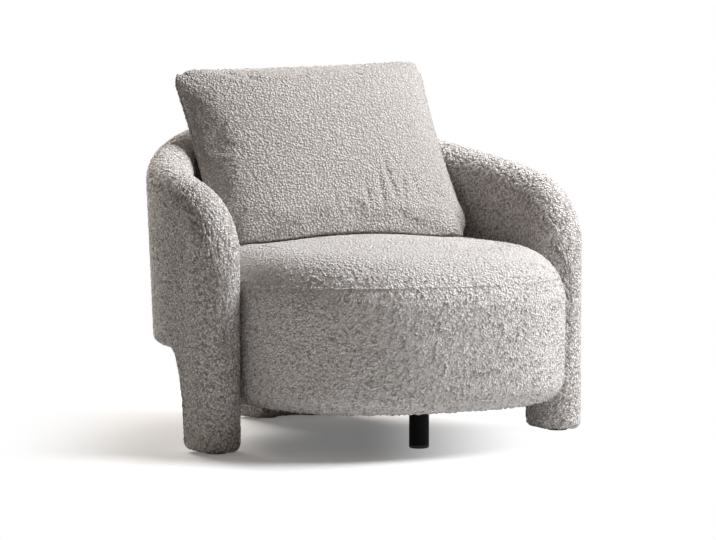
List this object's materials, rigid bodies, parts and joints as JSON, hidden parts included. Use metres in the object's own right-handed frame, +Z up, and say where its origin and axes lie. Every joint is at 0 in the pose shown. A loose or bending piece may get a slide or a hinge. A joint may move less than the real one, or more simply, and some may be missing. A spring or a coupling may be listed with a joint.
{
  "type": "tub chair",
  "caption": "Upholstered tub chair with a curved band for arms and back, a drum seat on a prop leg and a loose back cushion.",
  "frame": {"origin": "on the floor, under the centre of the chair's box", "axes": "+X to the right as seen from the front, -Y towards the front, +Z up"},
  "size_m": [0.8868, 0.9066, 0.7603],
  "materials": {
    "boucle": "looped wool boucle, matt, warm light grey",
    "foam": "polyurethane foam, matt",
    "filling": "fibre filling in a cotton bag",
    "black_lining": "spun black lining",
    "webbing": "woven elastic webbing",
    "hardboard": "brown hardboard, smooth face",
    "zip_tape": "woven polyester tape",
    "zip_teeth": "nylon coil",
    "zip_metal": "nickel plated",
    "zinc_steel": "zinc plated",
    "black_steel": "matt black powder coat",
    "black_plastic": "moulded nylon",
    "felt": "pressed grey felt on a nylon cup",
    "plywood": "birch plywood, sanded"
  },
  "bodies": {
    "chair": {"band_cover": "boucle", "band_padding": "foam", "underside_strip": "black_lining", "outer_board": "hardboard", "inner_board": "hardboard", "arm_panel_left": "plywood", "arm_panel_right": "plywood", "leg_post_left": "plywood", "leg_post_right": "plywood", "rear_foot_block": "plywood", "base_rail": "plywood", "top_rail": "plywood", "rib_1": "plywood", "rib_2": "plywood", "rib_3": "plywood", "rib_4": "plywood", "rib_5": "plywood", "rib_6": "plywood", "rib_7": "plywood", "foot_glides": "felt", "glide_screws": "zinc_steel", "seat_cover": "boucle", "seat_foam": "foam", "seat_side_padding": "foam", "seat_side_board": "hardboard", "seat_top_ring": "plywood", "seat_base_board": "plywood", "seat_block_left": "plywood", "seat_block_right": "plywood", "seat_block_rear_left": "plywood", "seat_block_rear_right": "plywood", "seat_block_front_left": "plywood", "seat_block_front_right": "plywood", "webbing_across": "webbing", "webbing_along": "webbing", "dust_cover": "black_lining", "joining_bolts": "zinc_steel", "joining_washers": "zinc_steel", "joining_inserts": "zinc_steel", "prop_plate": "black_steel", "prop_tube": "black_steel", "prop_glide": "black_plastic", "prop_screws": "zinc_steel"},
    "cushion": {"cushion_cover": "boucle", "cushion_filling": "filling", "zip_tape": "zip_tape", "zip_teeth": "zip_teeth"},
    "zip_slider": {"zip_slider": "zip_metal"}
  },
  "joints": [
    {"name": "cushion_lift", "type": "slide", "parent": "chair", "child": "cushion", "axis": [0, 0, 1], "range_m": [0, 0.3]},
    {"name": "zip_slide", "type": "slide", "parent": "cushion", "child": "zip_slider", "axis": [-1, 0, 0], "range_m": [0, 0.25]}
  ]
}
